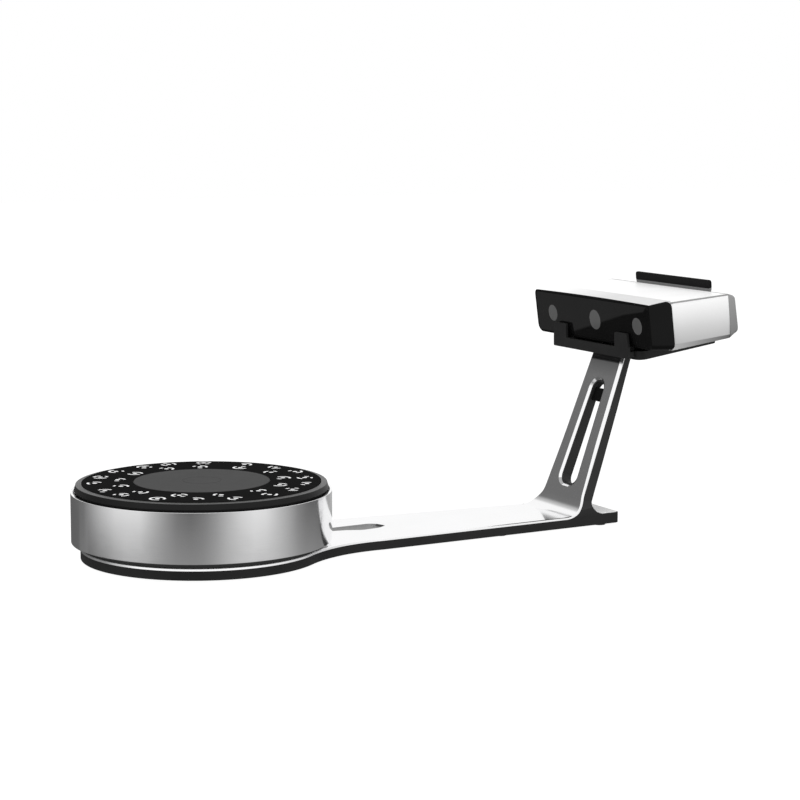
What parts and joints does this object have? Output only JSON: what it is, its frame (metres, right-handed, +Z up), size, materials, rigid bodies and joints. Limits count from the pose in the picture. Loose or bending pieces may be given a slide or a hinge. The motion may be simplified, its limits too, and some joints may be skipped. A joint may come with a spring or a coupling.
{
  "type": "desktop 3d scanner",
  "caption": "Desktop 3D scanner: geared turntable on a round base, flat arm with a slotted leaning upright, and a lift-off head with two cameras and a projector.",
  "frame": {"origin": "middle of the outline on the table, under the rubber feet", "axes": "+X from the turntable along the arm to the head, +Y to the left side of that direction, +Z up"},
  "size_m": [0.5659, 0.21, 0.2125],
  "materials": {
    "black_body": "fine satin black, moulded",
    "bright_aluminium": "bright satin, with polished cut edges",
    "drum_aluminium": "turned and brushed round the drum",
    "black_platter": "satin black",
    "marker_film": "matt black film with white marks",
    "rubber": "matt",
    "pad_rubber": "matt dark grey",
    "head_white": "gloss white",
    "head_silver": "pale silver white",
    "head_grey": "satin mid grey",
    "gloss_black": "gloss black",
    "dark_glass": "dark tinted panel",
    "window_glass": "coated optical window",
    "steel": "bright steel",
    "dark_steel": "dark",
    "cast_alu": "machined",
    "brass": "turned",
    "gear_nylon": "natural nylon",
    "board_green": "solder mask",
    "black_inner": "black"
  },
  "bodies": {
    "base": {"base_frame": "black_body", "arm_cover": "bright_aluminium", "tail_cover": "bright_aluminium", "foot_pads": "rubber", "ballast_plate": "dark_steel", "base_screws": "steel", "riser_ring": "black_inner", "chassis_plate": "cast_alu", "drum_ring": "drum_aluminium", "bearing_housing": "cast_alu", "bearing_lower": "steel", "bearing_upper": "steel", "drive_motor": "dark_steel", "motor_mount": "steel", "motor_screws": "steel", "drive_board": "board_green", "board_standoffs": "brass", "arm_harness": "black_inner", "link_socket": "steel", "cradle": "black_body", "cradle_pads": "rubber", "cradle_screws": "steel", "cable_clip": "black_inner"},
    "platter": {"spindle": "steel", "platter": "black_platter", "platter_screws": "steel", "marker_disc": "marker_film", "centre_pad": "pad_rubber", "drive_gear": "gear_nylon"},
    "pinion": {"pinion": "brass", "motor_shaft": "steel"},
    "head": {"head_shell": "head_silver", "head_lid": "head_white", "head_bezel": "gloss_black", "front_window": "dark_glass", "window_side": "window_glass", "window_middle": "window_glass", "optical_bench": "cast_alu", "camera_left": "dark_steel", "camera_right": "dark_steel", "lens_left": "black_inner", "lens_right": "black_inner", "projector": "dark_steel", "projector_lens": "black_inner", "heat_sink": "cast_alu", "fan_frame": "black_inner", "main_board": "board_green", "rear_cap": "head_grey", "dc_jack": "black_inner", "data_ports": "steel", "button_switch": "steel", "tripod_insert": "brass", "head_screws": "steel"},
    "fan_rotor": {"fan_rotor": "black_inner"},
    "power_button": {"power_button": "head_silver"}
  },
  "joints": [
    {"name": "platter_spin", "type": "hinge", "parent": "base", "child": "platter", "pos_m": [-0.1778, 0, 0.058], "axis": [0, 0, 1], "continuous": true},
    {"name": "pinion_spin", "type": "hinge", "parent": "base", "child": "pinion", "pos_m": [-0.1178, 0, 0.048], "axis": [0, 0, 1], "continuous": true},
    {"name": "head_lift", "type": "slide", "parent": "base", "child": "head", "axis": [-0.0785, 0, 0.9969], "range_m": [0, 0.08]},
    {"name": "fan_spin", "type": "hinge", "parent": "head", "child": "fan_rotor", "pos_m": [0.26715, 0, 0.18288], "axis": [0.9969, 0, 0.0785], "continuous": true},
    {"name": "power_press", "type": "slide", "parent": "head", "child": "power_button", "axis": [-0.9969, 0, -0.0785], "range_m": [0, 0.001], "stiffness_N_per_m": 400}
  ],
  "couplings": [
    {"joint": "pinion_spin", "follows": "platter_spin", "ratio": -5}
  ]
}
